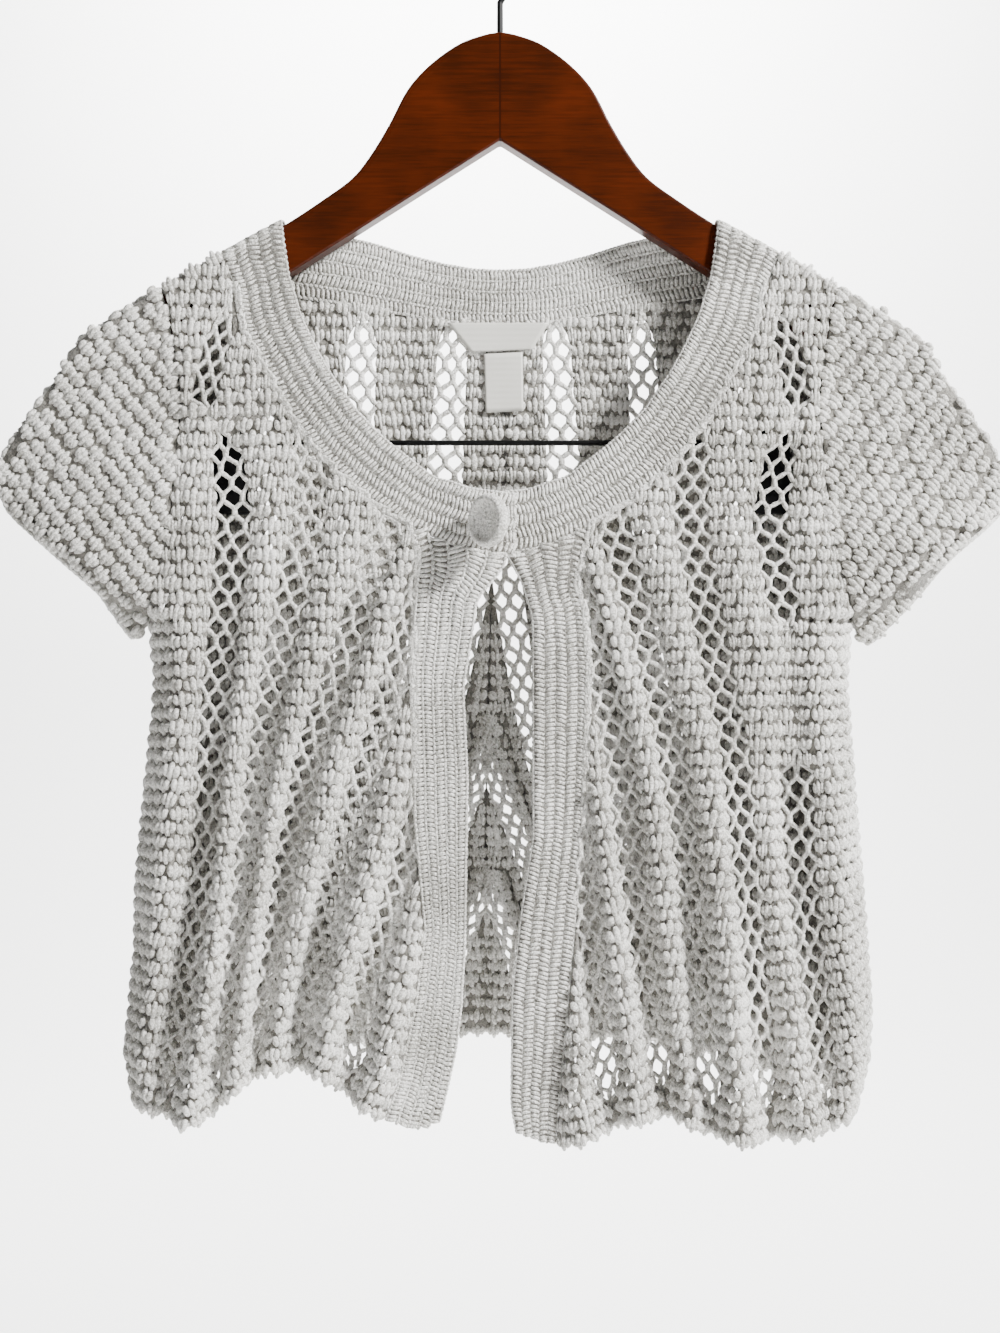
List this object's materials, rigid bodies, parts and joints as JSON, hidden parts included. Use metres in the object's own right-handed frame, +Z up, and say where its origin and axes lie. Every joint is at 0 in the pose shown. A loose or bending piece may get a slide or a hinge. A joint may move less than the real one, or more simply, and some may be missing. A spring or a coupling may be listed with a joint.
{
  "type": "crochet cardigan on a hanger",
  "caption": "Cropped cap-sleeved openwork crochet cardigan with ribbed bands and a covered button, hung on a wooden clip hanger.",
  "frame": {"origin": "where a rail touches the inside of the hook, at the top of its crook", "axes": "+Z up, the front faces -Y, +X to the viewer's right, which is the wearer's left"},
  "size_m": [0.5518, 0.0872, 0.6715],
  "materials": {
    "cotton_crochet": "matte off-white cotton yarn",
    "satin_label": "off-white woven satin",
    "varnished_wood": "red-brown satin varnish",
    "black_wire": "black plated wire",
    "black_plastic": "moulded black"
  },
  "bodies": {
    "root": {"right_front": "cotton_crochet", "left_front": "cotton_crochet", "back": "cotton_crochet", "right_sleeve": "cotton_crochet", "left_sleeve": "cotton_crochet", "neckband": "cotton_crochet", "right_band": "cotton_crochet", "left_band": "cotton_crochet", "button": "cotton_crochet", "neck_label": "satin_label", "size_tag": "satin_label", "hanger_wood": "varnished_wood", "hook": "black_wire", "hanger_bar": "black_wire", "right_clip": "black_plastic", "left_clip": "black_plastic"}
  },
  "joints": []
}
